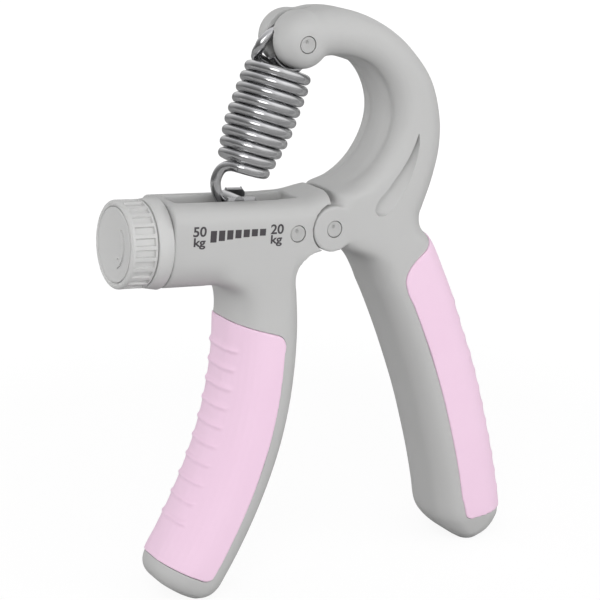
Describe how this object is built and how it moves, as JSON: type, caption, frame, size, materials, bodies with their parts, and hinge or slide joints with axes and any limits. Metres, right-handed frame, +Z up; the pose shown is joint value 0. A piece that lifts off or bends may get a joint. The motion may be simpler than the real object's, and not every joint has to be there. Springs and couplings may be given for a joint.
{
  "type": "hand grip strengthener",
  "caption": "Adjustable hand grip strengthener: two hinged handles with soft grips, an extension spring on a curved arm, and a dial that slides the spring's foot to change the resistance.",
  "frame": {"origin": "on the floor under the middle of the grip's outline, with the grip standing on its two tips", "axes": "+Z up, +X from the dial towards the curved arm, +Y through the thickness, away from the printed face"},
  "size_m": [0.1195, 0.0238, 0.1558],
  "materials": {
    "handle_plastic": "light grey satin moulded plastic",
    "dial_plastic": "lighter grey satin moulded plastic",
    "grip_rubber": "pale pink soft-touch elastomer",
    "spring_steel": "bright nickel-plated spring wire",
    "steel": "zinc-plated steel"
  },
  "bodies": {
    "left_handle": {"left_handle": "handle_plastic", "left_grip": "grip_rubber", "end_collar": "handle_plastic", "end_block": "handle_plastic", "block_pin": "steel", "block_plug_front": "dial_plastic", "block_plug_rear": "dial_plastic"},
    "right_handle": {"right_handle": "handle_plastic", "right_grip": "grip_rubber", "hinge_pin": "steel", "hinge_plug_front": "dial_plastic", "hinge_plug_rear": "dial_plastic", "spring_plug_front": "dial_plastic", "spring_plug_rear": "dial_plastic", "spring_pin": "steel"},
    "adjuster": {"dial": "dial_plastic", "dial_cap": "dial_plastic", "dial_screw": "steel", "lead_screw": "steel", "thrust_washer": "steel"},
    "carriage": {"carriage": "steel", "carriage_nut": "steel", "hook_pin": "steel"},
    "spring_top": {"spring_top_hook": "spring_steel"},
    "spring_coil": {"spring_coil": "spring_steel"},
    "spring_bottom": {"spring_bottom_hook": "spring_steel"}
  },
  "joints": [
    {"name": "grip_squeeze", "type": "hinge", "parent": "left_handle", "child": "right_handle", "pos_m": [-0.0009, 0, 0.099], "axis": [0, 1, 0], "range_deg": [0, 36], "stiffness_Nm_per_rad": 15, "springref_deg": -14.32},
    {"name": "dial_turn", "type": "hinge", "parent": "left_handle", "child": "adjuster", "pos_m": [-0.05107, 0, 0.09875], "axis": [0.9971, 0, -0.0767], "range_deg": [-2160, 3600]},
    {"name": "carriage_slide", "type": "slide", "parent": "left_handle", "child": "carriage", "axis": [-0.9971, 0, 0.0767], "range_m": [-0.006, 0.01]},
    {"name": "spring_swing", "type": "hinge", "parent": "right_handle", "child": "spring_top", "pos_m": [-0.00851, 0, 0.14743], "axis": [0, 1, 0], "range_deg": [-5.5, 9]},
    {"name": "spring_stretch", "type": "slide", "parent": "spring_top", "child": "spring_coil", "axis": [0, 0, -1], "range_m": [0, 0.0178], "deforming": ["spring_coil"]},
    {"name": "spring_reach", "type": "slide", "parent": "spring_coil", "child": "spring_bottom", "axis": [-0.3935, 0, -0.9193], "range_m": [-0.0035, 0.0057], "deforming": ["spring_bottom_hook"]}
  ],
  "couplings": [
    {"joint": "dial_turn", "follows": "carriage_slide", "rad_per_m": 6283.2},
    {"joint": "spring_swing", "follows": "carriage_slide", "rad_per_m": 14.9},
    {"joint": "spring_stretch", "follows": "grip_squeeze", "m_per_rad": 0.0274},
    {"joint": "spring_reach", "follows": "carriage_slide", "ratio": 0.52}
  ]
}
